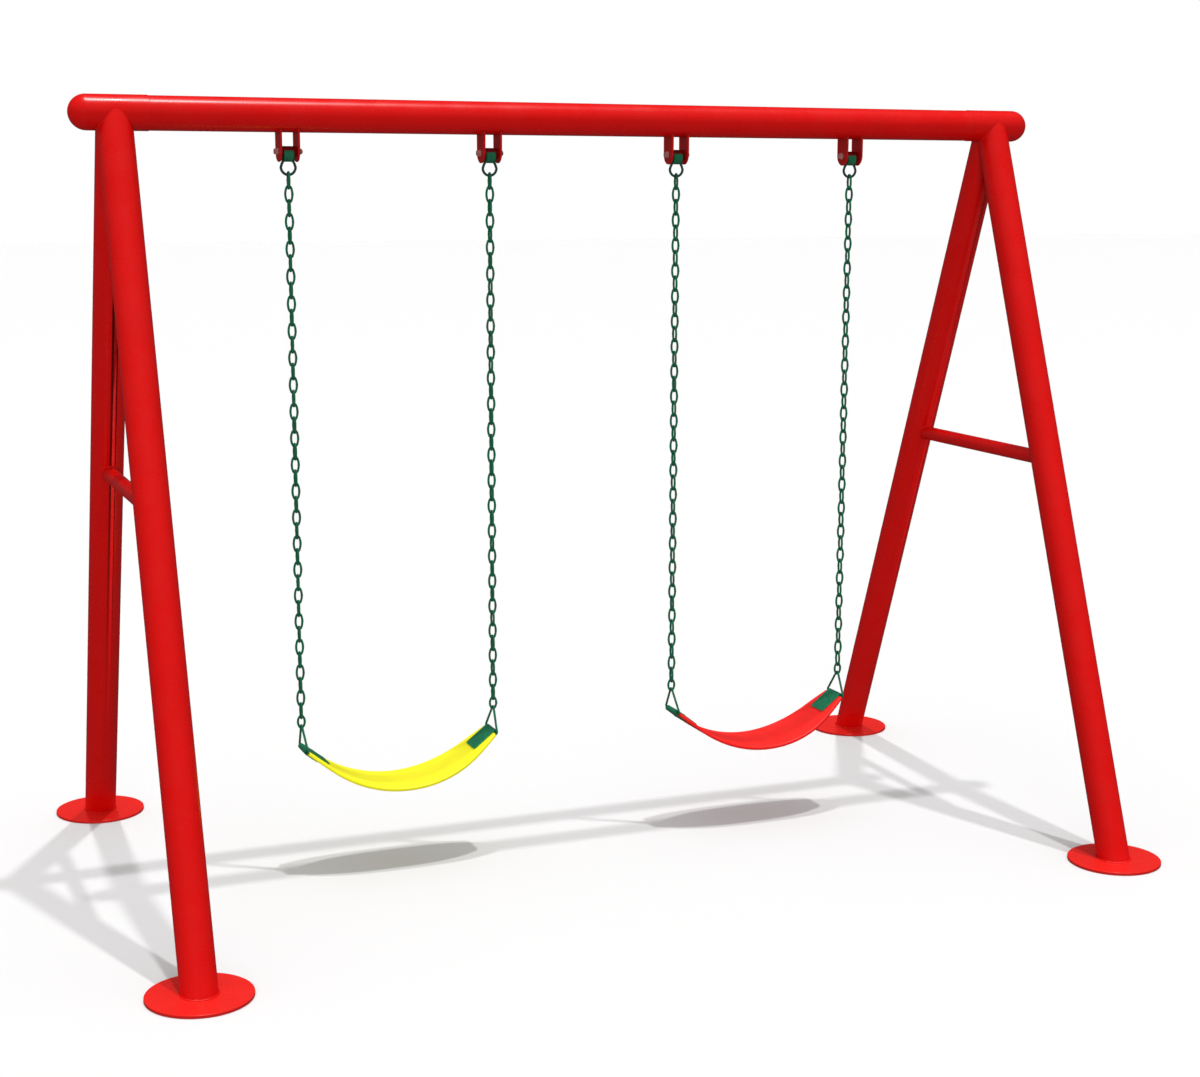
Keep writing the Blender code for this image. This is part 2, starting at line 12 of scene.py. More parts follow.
import bmesh
import bpy
from mathutils import Matrix, Vector


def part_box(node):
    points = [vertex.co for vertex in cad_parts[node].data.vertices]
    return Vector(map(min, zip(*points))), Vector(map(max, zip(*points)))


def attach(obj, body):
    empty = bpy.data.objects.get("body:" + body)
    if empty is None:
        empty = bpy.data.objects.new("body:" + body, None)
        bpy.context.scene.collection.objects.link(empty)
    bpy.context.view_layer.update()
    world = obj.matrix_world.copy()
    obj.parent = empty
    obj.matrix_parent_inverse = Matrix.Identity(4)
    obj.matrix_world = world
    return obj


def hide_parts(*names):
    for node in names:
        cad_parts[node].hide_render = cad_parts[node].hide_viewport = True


# Frame
TUBE_WALL = 0.003
BRACE_WALL = 0.0025
SLEEVE_LAP = 0.0003  # a tube's end is sunk by this into what it is welded to
HEAD_RIM = 0.0012  # rounding of the head's inner rim
FOOT_EDGE = 0.0015
WELD_RADIUS = 0.0032
WELD_RIPPLE = 0.10  # share of the bead's radius
WELD_PITCH = 0.004
WELD_STEP = WELD_PITCH / 4  # between the points of a bead
WELD_ROOT = 0.001
FAIRING = 0.005  # of the ground weld between a leg and its head

# Hangers
EAR_EDGE = 0.0008
BOLT_RADIUS = 0.005
HOLE_RADIUS = 0.0054
HEX_RADIUS = 0.0088
FLANGE_THICKNESS = 0.0022
FLANGE_EDGE = 0.0006
HEX_CHAMFER_START = 0.94  # share of the distance to a flat
HEX_CHAMFER_ANGLE = radians(30)
THREAD_DEPTH = 0.0006
THREAD_GROOVES = 3
THREAD_CREST = 0.25  # share of the thread's pitch
THREAD_ROOT = 0.75
SLEEVE_EDGE = 0.001
BARREL_EDGE = 0.0016
RING_WIRE_RADIUS = 0.0037
RING_BORE_RADIUS = 0.0042
RING_CORNER = 0.0045
RING_WAIST_DROP = 0.013  # from the top bar's axis to where the sides start to flare
RING_WAIST_INSET = 0.0028

# Chains
CHAIN_LINKS = 41
WIRE_RADIUS = 0.0033
CAD_GAP = 0.0003  # between neighbouring solids of the CAD
LINK_HALF_WIDTH = 0.0099  # to the wire's centre line
LINK_END_RADIUS = 0.0068  # of the wire's centre line at both ends of a link
LINK_TWIST = radians(4)
TWIST_SEED = 7
LINK_WELD_SWELL = 0.12  # share of the wire's radius
LINK_WELD_LENGTH = 0.0035

# Seats
TRIANGLE_HALF_BASE = 0.053
TRIANGLE_APEX_BEND = 0.007
TRIANGLE_BASE_BEND = 0.005
BELT_THICKNESS = 0.010
BELT_SLOPE = radians(38)
BELT_STRAIGHT = 0.080
BELT_END_INSET = 0.0045
BELT_END_HALF_WIDTH = 0.050
BELT_TAPER = 3  # power of the distance from the middle by which the belt narrows
BELT_EDGE = 0.0034
PLATE_THICKNESS = 0.003
PLATE_HALF_WIDTH = 0.038
PLATE_TOP_LENGTH = 0.079
PLATE_BOTTOM_LENGTH = 0.045
PLATE_EDGE = 0.0009
PLATE_CORNER = 0.007
RIVET_RADIUS = 0.0055
RIVET_HEIGHT = 0.0022
RIVET_Y = 0.021
RIVET_ALONG = 0.030  # from the triangle's base

# Studio
SKY_LOW = 0.30  # the sky's brightness at and below the horizon
SKY_HIGH = 0.985  # and straight above
REFLECTED_SKY = 0.05
SEEN_SKY = 1.0
WHITE = (1, 1, 1, 1)
FLOOR_GREY = (0.664, 0.664, 0.664, 1)
FLOOR_HALF = 60
FLOOR_Z = -0.0005  # just below the foot plates
KEY_ANGLE = radians(1.4)
FILL_ANGLE = radians(25)
CAMERA_PLACE = (-2.2157, -5.4766, 1.9739)
CAMERA_YAW = 0.3897
CAMERA_PITCH = -0.17596
CAMERA_ROLL = 0.00312
SENSOR_WIDTH = 36
LENS = 60.17
VIEW_DEPTH = 200

# Mesh fineness
TUBE_SIDES = 96
FOOT_SIDES = 128
SMALL_SIDES = 48
HEX_SIDES = 72
WIRE_SIDES = 14
BEAD_SIDES = 10
BEND_STEPS = 10
FOLD_STEPS = 20  # in an end plate's half circle
ARC_STEPS = 30  # in a half circle
BELT_STEPS = 40  # in each half of a belt's arc
LINK_STEPS = 12  # in each of a link's four arcs
DOME_STEPS = 24
FILLET_STEPS = 4
FULLEST_FILLET = 0.98  # share of half the thickness
WELD_FINENESS = 4  # points of a weld's path for each side of its tube
LEAST_POINTS = 8  # on a resampled path
SMOOTH_ANGLE = radians(38)
SAME_POINT = 1e-7

# Most of a noise texture's values lie between these
NOISE_LOW = 0.3
NOISE_HIGH = 0.7

X_AXIS = Vector((1, 0, 0))
Y_AXIS = Vector((0, 1, 0))
Z_AXIS = Vector((0, 0, 1))

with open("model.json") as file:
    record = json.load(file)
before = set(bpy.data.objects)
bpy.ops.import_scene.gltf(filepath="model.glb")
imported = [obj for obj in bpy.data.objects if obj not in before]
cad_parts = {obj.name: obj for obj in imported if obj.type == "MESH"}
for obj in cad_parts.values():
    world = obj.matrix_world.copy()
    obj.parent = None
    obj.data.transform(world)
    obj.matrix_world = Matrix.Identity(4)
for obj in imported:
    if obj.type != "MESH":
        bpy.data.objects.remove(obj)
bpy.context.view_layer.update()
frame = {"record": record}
bodies = frame["record"]["behaviour"]["bodies"]
body_of_node = {node: body for body, nodes in bodies.items() for node in nodes}


# Meshes


def skin(bm, rings, loop=False, caps=False):
    """Quads between neighbouring rings of points. A ring of one point makes a tip."""
    rings = [[bm.verts.new(point) for point in ring] for ring in rings]
    pairs = list(zip(rings, rings[1:] + rings[:1] if loop else rings[1:]))
    for ring, after in pairs:
        sides = max(len(ring), len(after))
        for i in range(sides):
            j = (i + 1) % sides
            near = [ring[i % len(ring)], ring[j % len(ring)]]
            far = [after[j % len(after)], after[i % len(after)]]
            bm.faces.new(list(dict.fromkeys(near + far)))
    if caps:
        bm.faces.new(rings[0][::-1])
        bm.faces.new(rings[-1])


def circle(centre, across, up, radius, sides):
    """Points of a circle in the plane of two unit vectors."""
    turns = (2 * pi * i / sides for i in range(sides))
    return [centre + across * (radius * cos(turn)) + up * (radius * sin(turn)) for turn in turns]


def hoop(x, z, radius, sides):
    """Points of a circle round an axis along X."""
    return circle(Vector((x, 0, z)), Y_AXIS, Z_AXIS, radius, sides)


def turned(bm, profile, origin, axis, sides, loop=False):
    """Revolves (radius, distance along the axis) points about an axis."""
    across = axis.orthogonal().normalized()
    up = axis.cross(across)
    rings = []
    for radius, along in profile:
        centre = origin + axis * along
        rings.append([centre] if radius < SAME_POINT else circle(centre, across, up, radius, sides))
    skin(bm, rings, loop)


def sweep(bm, points, outs, radii, sides, closed=True):
    """A round wire through points. Each out vector says where the wire's first side faces."""
    count = len(points)
    rings = []
    for i, point in enumerate(points):
        before = points[i - 1] if closed or i else point
        after = points[(i + 1) % count] if closed or i < count - 1 else point
        along = (after - before).normalized()
        out = (outs[i] - along * outs[i].dot(along)).normalized()
        rings.append(circle(point, out, along.cross(out), radii[i], sides))
    skin(bm, rings, loop=closed, caps=not closed)


def bead(bm, points, outs, closed=True):
    """A weld bead through points, with the ripples that the welding leaves."""
    radii = []
    travelled = 0
    for i, point in enumerate(points):
        travelled += (point - points[i - 1]).length if i else 0
        radii.append(WELD_RADIUS * (1 + WELD_RIPPLE * sin(2 * pi * travelled / WELD_PITCH)))
    sweep(bm, points, outs, radii, BEAD_SIDES, closed)


def resampled(points, step, closed=True):
    """Points a step apart along a path."""
    path = points + points[:1] if closed else points
    lengths = [(b - a).length for a, b in zip(path, path[1:])]
    count = max(LEAST_POINTS, round(sum(lengths) / step))
    found = []
    index, passed = 0, 0.0
    for i in range(count if closed else count + 1):
        target = sum(lengths) * i / count
        while index < len(lengths) - 1 and passed + lengths[index] < target:
            passed += lengths[index]
            index += 1
        found.append(path[index].lerp(path[index + 1], (target - passed) / lengths[index]))
    return found


def rounded_profile(corners, bends):
    """A closed path through corners, each rounded with its own bend radius."""
    path = []
    count = len(corners)
    for i, (corner, bend) in enumerate(zip(corners, bends)):
        back = (corners[i - 1] - corner).normalized()
        ahead = (corners[(i + 1) % count] - corner).normalized()
        half = back.angle(ahead) / 2
        centre = corner + (back + ahead).normalized() * (bend / sin(half))
        start = corner + back * (bend / tan(half)) - centre
        end = corner + ahead * (bend / tan(half)) - centre
        sweep_angle = start.angle(end)
        for step in range(BEND_STEPS + 1):
            part = step / BEND_STEPS
            mixed = start * sin((1 - part) * sweep_angle) + end * sin(part * sweep_angle)
            path.append(centre + mixed / sin(sweep_angle))
    return path


def strip(bm, sections, edge):
    """A flat band across Y. Each section is a centre, an upward normal, and half a width and thickness."""
    rings = []
    for centre, normal, half_width, half_thickness in sections:
        fillet = min(edge, half_thickness * FULLEST_FILLET)
        ring = []
        for start, way_y, way_n in ((0, 1, 1), (1, -1, 1), (2, -1, -1), (3, 1, -1)):
            for step in range(FILLET_STEPS + 1):
                turn = pi / 2 * (start + step / FILLET_STEPS)
                y = way_y * (half_width - fillet) + fillet * cos(turn)
                n = way_n * (half_thickness - fillet) + fillet * sin(turn)
                ring.append(centre + Y_AXIS * y + normal * n)
        rings.append(ring)
    skin(bm, rings, caps=True)


def add_piece(node, bm, material):
    """The piece that stands for a CAD node and rides on its body."""
    bmesh.ops.remove_doubles(bm, verts=bm.verts, dist=SAME_POINT)
    bmesh.ops.recalc_face_normals(bm, faces=bm.faces)
    mesh = bpy.data.meshes.new(f"{node}_detail")
    bm.to_mesh(mesh)
    bm.free()
    mesh.shade_smooth()
    mesh.set_sharp_from_angle(angle=SMOOTH_ANGLE)
    mesh.materials.append(material)
    piece = bpy.data.objects.new(f"{node}_detail", mesh)
    bpy.context.scene.collection.objects.link(piece)
    flat_faces = piece.modifiers.new("flat_faces", "WEIGHTED_NORMAL")
    flat_faces.keep_sharp = True
    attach(piece, body_of_node[node])
    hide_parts(node)


# Materials


def start_material(name, colour, roughness, metallic=0.0, specular=0.5):
    material = bpy.data.materials.new(name)
    material.use_nodes = True
    shader = material.node_tree.nodes["Principled BSDF"]
    shader.inputs["Base Color"].default_value = colour
    shader.inputs["Roughness"].default_value = roughness
    shader.inputs["Metallic"].default_value = metallic
    shader.inputs["Specular IOR Level"].default_value = specular
    material.diffuse_color = colour
    return material, shader


def add_noise(material, scale, detail):
    """A noise texture in the part's own coordinates, in cycles per metre."""
    tree = material.node_tree
    place = tree.nodes.new("ShaderNodeTexCoord")
    texture = tree.nodes.new("ShaderNodeTexNoise")
    texture.inputs["Scale"].default_value = scale
    texture.inputs["Detail"].default_value = detail
    tree.links.new(place.outputs["Object"], texture.inputs["Vector"])
    return texture.outputs["Fac"]


def vary_colour(material, shader, colour, scale, detail, dark, light):
    """The colour wanders between two shades, given as factors of it."""
    tree = material.node_tree
    ramp = tree.nodes.new("ShaderNodeValToRGB")
    stops = ramp.color_ramp.elements
    for stop, position, factor in zip(stops, (NOISE_LOW, NOISE_HIGH), (dark, light)):
        stop.position = position
        stop.color = (*(channel * factor for channel in colour[:3]), 1)
    tree.links.new(add_noise(material, scale, detail), ramp.inputs["Fac"])
    tree.links.new(ramp.outputs["Color"], shader.inputs["Base Color"])


def vary_roughness(material, shader, scale, detail, low, high):
    tree = material.node_tree
    spread = tree.nodes.new("ShaderNodeMapRange")
    spread.inputs["From Min"].default_value = NOISE_LOW
    spread.inputs["From Max"].default_value = NOISE_HIGH
    spread.inputs["To Min"].default_value = low
    spread.inputs["To Max"].default_value = high
    tree.links.new(add_noise(material, scale, detail), spread.inputs["Value"])
    tree.links.new(spread.outputs["Result"], shader.inputs["Roughness"])


def add_bump(material, shader, scale, detail, strength, depth):
    """A bump on top of those that the material has."""
    tree = material.node_tree
    bump = tree.nodes.new("ShaderNodeBump")
    bump.inputs["Strength"].default_value = strength
    bump.inputs["Distance"].default_value = depth
    tree.links.new(add_noise(material, scale, detail), bump.inputs["Height"])
    normal = shader.inputs["Normal"]
    if normal.is_linked:
        tree.links.new(normal.links[0].from_socket, bump.inputs["Normal"])
    tree.links.new(bump.outputs["Normal"], normal)


def powder_paint(name, colour):
    """Gloss powder coat with a faint orange peel."""
    material, shader = start_material(name, colour, roughness=0.3, specular=0.35)
    vary_colour(material, shader, colour, scale=7, detail=3, dark=0.97, light=1.02)
    vary_roughness(material, shader, scale=15, detail=3, low=0.24, high=0.32)
    add_bump(material, shader, scale=260, detail=1, strength=0.10, depth=0.0004)
    return material


def dipped_coat(name, colour):
    """The thick plastic coat on the chains and fittings."""
    material, shader = start_material(name, colour, roughness=0.35)
    vary_colour(material, shader, colour, scale=60, detail=3, dark=0.85, light=1.12)
    vary_roughness(material, shader, scale=90, detail=2, low=0.28, high=0.42)
    add_bump(material, shader, scale=500, detail=2, strength=0.15, depth=0.0003)
    return material


def zinc_plate(name, colour):
    material, shader = start_material(name, colour, roughness=0.35, metallic=0.4)
    vary_colour(material, shader, colour, scale=220, detail=4, dark=0.8, light=1.1)
    vary_roughness(material, shader, scale=300, detail=3, low=0.25, high=0.45)
    add_bump(material, shader, scale=900, detail=2, strength=0.15, depth=0.0002)
    return material


def belt_plastic(name, colour):
    """Moulded belt, satin, with a fine grain."""
    material, shader = start_material(name, colour, roughness=0.45, specular=0.4)
    vary_colour(material, shader, colour, scale=12, detail=3, dark=0.95, light=1.02)
    vary_roughness(material, shader, scale=25, detail=3, low=0.40, high=0.52)
    add_bump(material, shader, scale=900, detail=2, strength=0.2, depth=0.0002)
    add_bump(material, shader, scale=60, detail=2, strength=0.05, depth=0.0008)
    return material


RED = powder_paint("gloss_red_paint", (0.66, 0.0015, 0.0008, 1))
# The foot plates' red is a lighter, pinker copy of the frame's red: painted light on their upward faces.
LIT_FOOT_RED = powder_paint("foot_red_painted_light", (0.71, 0.014, 0.010, 1))
# The ears' red is a darker copy of the frame's red: painted shade from the beam above them.
SHADED_HANGER_RED = powder_paint("hanger_red_painted_shade", (0.45, 0.0035, 0.0030, 1))
# The sleeve's near-black red is painted shade: it sits in the beam's shadow.
SHADED_SLEEVE_RED = powder_paint("sleeve_red_painted_shade", (0.11, 0.0012, 0.0012, 1))
GREEN = dipped_coat("green_dip_coat", (0.008, 0.140, 0.065, 1))
PLATE_GREEN = dipped_coat("plate_green_coat", (0.012, 0.195, 0.092, 1))
RING_GREEN = dipped_coat("dark_green_ring", (0.020, 0.060, 0.045, 1))
ZINC = zinc_plate("zinc", (0.62, 0.30, 0.29, 1))
YELLOW_BELT = belt_plastic("yellow_belt_plastic", (0.99, 0.93, 0.010, 1))
RED_BELT = belt_plastic("red_belt_plastic", (0.95, 0.010, 0.006, 1))


# Frame


def centre_of(node):
    low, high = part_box(node)
    return (low + high) / 2


def sizes_of(node):
    low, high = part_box(node)
    return high - low


BEAM_CENTRE = centre_of("top_beam")
BEAM_RADIUS = sizes_of("top_beam").z / 2
HEAD_RADIUS = sizes_of("left_head").z / 2
FOOT_TOP = sizes_of("left_front_foot").z
LEG_RADIUS = sizes_of("left_front_leg").x / 2


def leg_axis(side, depth):
    """Where a leg's axis meets the ground, its unit direction, and its length up to the beam's axis."""
    ground = centre_of(f"{side}_{depth}_foot")
    ground.z = 0
    top = Vector((ground.x, 0, BEAM_CENTRE.z))
    return ground, (top - ground).normalized(), (top - ground).length


def build_beam():
    """An open tube along X."""
    low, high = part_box("top_beam")
    bore = BEAM_RADIUS - TUBE_WALL
    length = high.x - low.x
    bm = bmesh.new()
    profile = [(BEAM_RADIUS, 0), (BEAM_RADIUS, length), (bore, length), (bore, 0)]
    turned(bm, profile, Vector((low.x, 0, BEAM_CENTRE.z)), X_AXIS, TUBE_SIDES, loop=True)
    add_piece("top_beam", bm, RED)


def build_head(side):
    """A sleeve with a rounded rim over the beam's end, closed by a dome."""
    low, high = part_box(f"{side}_head")
    way = 1 if side == "right" else -1
    rim_x = low.x if way > 0 else high.x
    length = high.x - low.x - HEAD_RADIUS
    bore = BEAM_RADIUS + SLEEVE_LAP / 2
    profile = [(bore, length), (bore, 0), (HEAD_RADIUS - HEAD_RIM, 0)]
    for step in range(1, FILLET_STEPS + 1):
        turn = pi / 2 * step / FILLET_STEPS
        profile.append((HEAD_RADIUS - HEAD_RIM * (1 - sin(turn)), HEAD_RIM * (1 - cos(turn))))
    for step in range(DOME_STEPS + 1):
        turn = pi / 2 * step / DOME_STEPS
        profile.append((HEAD_RADIUS * cos(turn), length + HEAD_RADIUS * sin(turn)))
    for step in range(DOME_STEPS - 1, 0, -1):
        turn = pi / 2 * step / DOME_STEPS
        profile.append((bore * cos(turn), length + bore * sin(turn)))
    bm = bmesh.new()
    turned(bm, profile, Vector((rim_x, 0, BEAM_CENTRE.z)), X_AXIS * way, TUBE_SIDES, loop=True)
    add_piece(f"{side}_head", bm, RED)


def fair_weld(bm, junction, ground, along, inward, slope):
    """A weld ground hollow, from a leg into its head. It fades out where the two are flush."""
    mitre = HEAD_RADIUS * slope / hypot(1, slope)
    profiles = []
    for point in junction:
        out = point - ground - along * (point - ground).dot(along)
        flush = max(0, 1 - max(0, out.dot(inward)) / mitre)
        reach = FAIRING * out.x / LEG_RADIUS * flush
        on_leg = point - along * abs(reach)
        on_head = point + X_AXIS * reach
        profile = []
        for step in range(BEND_STEPS + 1):
            part = step / BEND_STEPS
            curve = on_leg * (1 - part) ** 2 + point * (2 * part * (1 - part)) + on_head * part**2
            profile.append(curve)
        profile.append(point + along * WELD_ROOT - out.normalized() * WELD_ROOT)
        profiles.append(profile)
    skin(bm, [list(ring) for ring in zip(*profiles)], loop=True)


def build_leg(side, depth):
    """A tube from the foot plate to the head, mitred against the other leg, with its welds."""
    ground, along, length = leg_axis(side, depth)
    inward = X_AXIS.cross(along) * (1 if along.y < 0 else -1)
    slope = abs(along.y) / along.z

    def end_points(radius, sunk, sides=TUBE_SIDES):
        """The rings where lines along the tube meet the foot plate, and the head or the other leg."""
        bottom, top = [], []
        for out in circle(Vector(), X_AXIS, inward, radius, sides):
            offset = out.dot(inward)
            start = (FOOT_TOP - sunk - out.z - ground.z) / along.z
            short = max(sqrt((HEAD_RADIUS - sunk) ** 2 - offset**2), offset / slope)
            bottom.append(ground + out + along * start)
            top.append(ground + out + along * (length - short))
        return bottom, top

    bm = bmesh.new()
    bottom, top = end_points(LEG_RADIUS, SLEEVE_LAP)
    inner_bottom, inner_top = end_points(LEG_RADIUS - TUBE_WALL, SLEEVE_LAP)
    skin(bm, [bottom, top, inner_top, inner_bottom], loop=True)
    points = resampled(end_points(LEG_RADIUS, 0, WELD_FINENESS * TUBE_SIDES)[0], WELD_STEP)
    outs = [point - ground - along * (point - ground).dot(along) for point in points]
    bead(bm, points, outs)
    fair_weld(bm, end_points(LEG_RADIUS, 0)[1], ground, along, inward, slope)
    add_piece(f"{side}_{depth}_leg", bm, RED)


def build_foot(side, depth):
    """A round plate with rolled edges, under a leg."""
    node = f"{side}_{depth}_foot"
    radius = sizes_of(node).x / 2
    ground = leg_axis(side, depth)[0]
    profile = [(0, 0), (radius - FOOT_EDGE, 0)]
    for height, start in ((FOOT_EDGE, -1), (FOOT_TOP - FOOT_EDGE, 0)):
        for step in range(FILLET_STEPS + 1):
            turn = pi / 2 * (start + step / FILLET_STEPS)
            profile.append((radius - FOOT_EDGE * (1 - cos(turn)), height + FOOT_EDGE * sin(turn)))
    profile.append((0, FOOT_TOP))
    bm = bmesh.new()
    turned(bm, profile, ground, Z_AXIS, FOOT_SIDES)
    # The foot plate's lighter red is painted light from above.
    add_piece(node, bm, LIT_FOOT_RED)


def brace_end(centre, leg, way, radius, sunk, sides):
    """The ring where lines along a brace meet the front or the rear leg."""
    ground, along, _ = leg
    ring = []
    for out in circle(Vector(), X_AXIS, Z_AXIS, radius, sides):
        height = centre.z + out.z
        axis_y = ground.y + along.y / along.z * height
        reach = sqrt((LEG_RADIUS - sunk) ** 2 - out.x**2) / along.z
        ring.append(Vector((centre.x + out.x, axis_y + way * reach, height)))
    return ring


def build_brace(side):
    """A thin tube between the legs, its ends fitted to them and welded."""
    node = f"{side}_cross_brace"
    centre = centre_of(node)
    radius = sizes_of(node).x / 2
    outer, inner = [], []
    bm = bmesh.new()
    for depth, way in (("front", 1), ("rear", -1)):
        leg = leg_axis(side, depth)
        outer.append(brace_end(centre, leg, way, radius, SLEEVE_LAP, SMALL_SIDES))
        inner.append(brace_end(centre, leg, way, radius - BRACE_WALL, SLEEVE_LAP, SMALL_SIDES))
        path = brace_end(centre, leg, way, radius, 0, WELD_FINENESS * SMALL_SIDES)
        points = resampled(path, WELD_STEP)
        outs = [point - Vector((centre.x, point.y, centre.z)) for point in points]
        bead(bm, points, outs)
    skin(bm, outer + inner[::-1], loop=True)
    add_piece(node, bm, RED)


# Hangers


def beam_underside(x, half_depth, rise):
    """Points from back to front along the beam's underside, or a little higher."""
    arc = asin(half_depth / BEAM_RADIUS)
    points = []
    for step in range(ARC_STEPS + 1):
        turn = arc * (1 - 2 * step / ARC_STEPS)
        z = BEAM_CENTRE.z - BEAM_RADIUS * cos(turn) + rise
        points.append(Vector((x, BEAM_RADIUS * sin(turn), z)))
    return points


def build_ear(node, bolt_z):
    """A tab with a round lower end, its upper edge fitted and welded to the beam."""
    low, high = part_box(node)
    half_depth = high.y
    round_z = low.z + half_depth
    bolt = Vector((0, 0, bolt_z))
    outline = []
    for step in range(ARC_STEPS + 1):
        turn = pi * (1 + step / ARC_STEPS)
        outline.append(Vector((0, half_depth * cos(turn), round_z + half_depth * sin(turn))))
    outline += beam_underside(0, half_depth, SLEEVE_LAP)
    hole, inset = [], []
    for point in outline:
        out = (point - bolt).normalized()
        hole.append(bolt + out * HOLE_RADIUS)
        inset.append(point - out * EAR_EDGE)
    rings = []
    for x, ring in (
        (low.x, hole),
        (low.x, inset),
        (low.x + EAR_EDGE, outline),
        (high.x - EAR_EDGE, outline),
        (high.x, inset),
        (high.x, hole),
    ):
        rings.append([point + X_AXIS * x for point in ring])
    bm = bmesh.new()
    skin(bm, rings, loop=True)
    for x, out in ((low.x, -X_AXIS), (high.x, X_AXIS)):
        points = resampled(beam_underside(x, half_depth, 0), WELD_STEP, closed=False)
        bead(bm, points, [out] * len(points), closed=False)
    # The ear's darker red is painted shade under the beam.
    add_piece(node, bm, SHADED_HANGER_RED)


def hex_rings(z, face_x, outer_x):
    """Rings of a hexagon's side from its bearing face to its chamfered outer face."""
    half_side = pi / 6  # half of the turn that one of the six sides takes up
    apothem = HEX_RADIUS * cos(half_side)
    start = apothem * HEX_CHAMFER_START
    way = 1 if outer_x > face_x else -1
    side, chamfer, flat = [], [], []
    for i in range(HEX_SIDES):
        turn = 2 * pi * i / HEX_SIDES
        out = Vector((0, cos(turn), sin(turn)))
        radius = apothem / cos(turn % (2 * half_side) - half_side)
        drop = (radius - start) * tan(HEX_CHAMFER_ANGLE)
        side.append(Vector((face_x, 0, z)) + out * radius)
        chamfer.append(Vector((outer_x - way * drop, 0, z)) + out * radius)
        flat.append(Vector((outer_x, 0, z)) + out * start)
    return side, chamfer, flat


def thread_rings(z, start_x, end_x):
    """The thread's end, as grooves round the shank."""
    rings = []
    pitch = (end_x - start_x) / THREAD_GROOVES
    for groove in range(THREAD_GROOVES):
        for share, depth in ((THREAD_CREST, 0), (THREAD_ROOT, THREAD_DEPTH)):
            rings.append(hoop(start_x + pitch * (groove + share), z, BOLT_RADIUS - depth, HEX_SIDES))
    return rings


def flange_rings(z, radius, face_x, way):
    """Rings of a flange, from its flat face to the foot of the hexagon on it."""
    rings = []
    for along, ring_radius in (
        (0, radius - FLANGE_EDGE),
        (FLANGE_EDGE, radius),
        (FLANGE_THICKNESS - FLANGE_EDGE, radius),
        (FLANGE_THICKNESS, HEX_RADIUS),
    ):
        rings.append(hoop(face_x + way * along, z, ring_radius, HEX_SIDES))
    return rings


def build_bolt(node, nut):
    """A flanged hexagon bolt, whose thread ends just past its nut."""
    low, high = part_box(node)
    nut_low, nut_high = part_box(nut)
    z = centre_of(nut).z
    flange_radius = sizes_of(nut).y / 2
    face_x = low.x + nut_high.x - nut_low.x
    side, chamfer, flat = hex_rings(z, face_x - FLANGE_THICKNESS, low.x)
    flange = flange_rings(z, flange_radius, face_x, -1)
    tip = [Vector((low.x, 0, z))]
    neck = hoop(face_x, z, BOLT_RADIUS, HEX_SIDES)
    threads = thread_rings(z, nut_high.x, high.x)
    end = hoop(high.x, z, BOLT_RADIUS - 2 * THREAD_DEPTH, HEX_SIDES)
    last = [Vector((high.x, 0, z))]
    bm = bmesh.new()
    skin(bm, [tip, flat, chamfer, side, *flange[::-1], neck, *threads, end, last])
    add_piece(node, bm, ZINC)


def build_nut(node):
    """A flanged hexagon nut round the bolt's shank."""
    low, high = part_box(node)
    z = centre_of(node).z
    side, chamfer, flat = hex_rings(z, low.x + FLANGE_THICKNESS, high.x)
    flange = flange_rings(z, sizes_of(node).y / 2, low.x, 1)
    bores = [hoop(x, z, HOLE_RADIUS, HEX_SIDES) for x in (high.x, low.x)]
    bm = bmesh.new()
    skin(bm, [*flange, side, chamfer, flat, *bores], loop=True)
    add_piece(node, bm, ZINC)


def build_sleeve(node):
    """The tube that turns on the bolt."""
    low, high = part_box(node)
    radius = (high.y - low.y) / 2
    length = high.x - low.x
    profile = [
        (HOLE_RADIUS, 0),
        (radius - SLEEVE_EDGE, 0),
        (radius, SLEEVE_EDGE),
        (radius, length - SLEEVE_EDGE),
        (radius - SLEEVE_EDGE, length),
        (HOLE_RADIUS, length),
    ]
    bm = bmesh.new()
    turned(bm, profile, Vector((low.x, 0, centre_of(node).z)), X_AXIS, SMALL_SIDES, loop=True)
    # Near-black red: painted shade under the beam.
    add_piece(node, bm, SHADED_SLEEVE_RED)


def build_barrel(node, pin_z):
    """The round body under the sleeve, bored off its centre for the ring's top bar."""
    low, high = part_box(node)
    radius = (high.y - low.y) / 2
    axis_z = low.z + radius
    rings = []
    for x, ring_radius, z in (
        (low.x, RING_BORE_RADIUS, pin_z),
        (low.x, radius - BARREL_EDGE, axis_z),
        (low.x + BARREL_EDGE, radius, axis_z),
        (high.x - BARREL_EDGE, radius, axis_z),
        (high.x, radius - BARREL_EDGE, axis_z),
        (high.x, RING_BORE_RADIUS, pin_z),
    ):
        rings.append(hoop(x, z, ring_radius, SMALL_SIDES))
    bm = bmesh.new()
    skin(bm, rings, loop=True)
    add_piece(node, bm, GREEN)


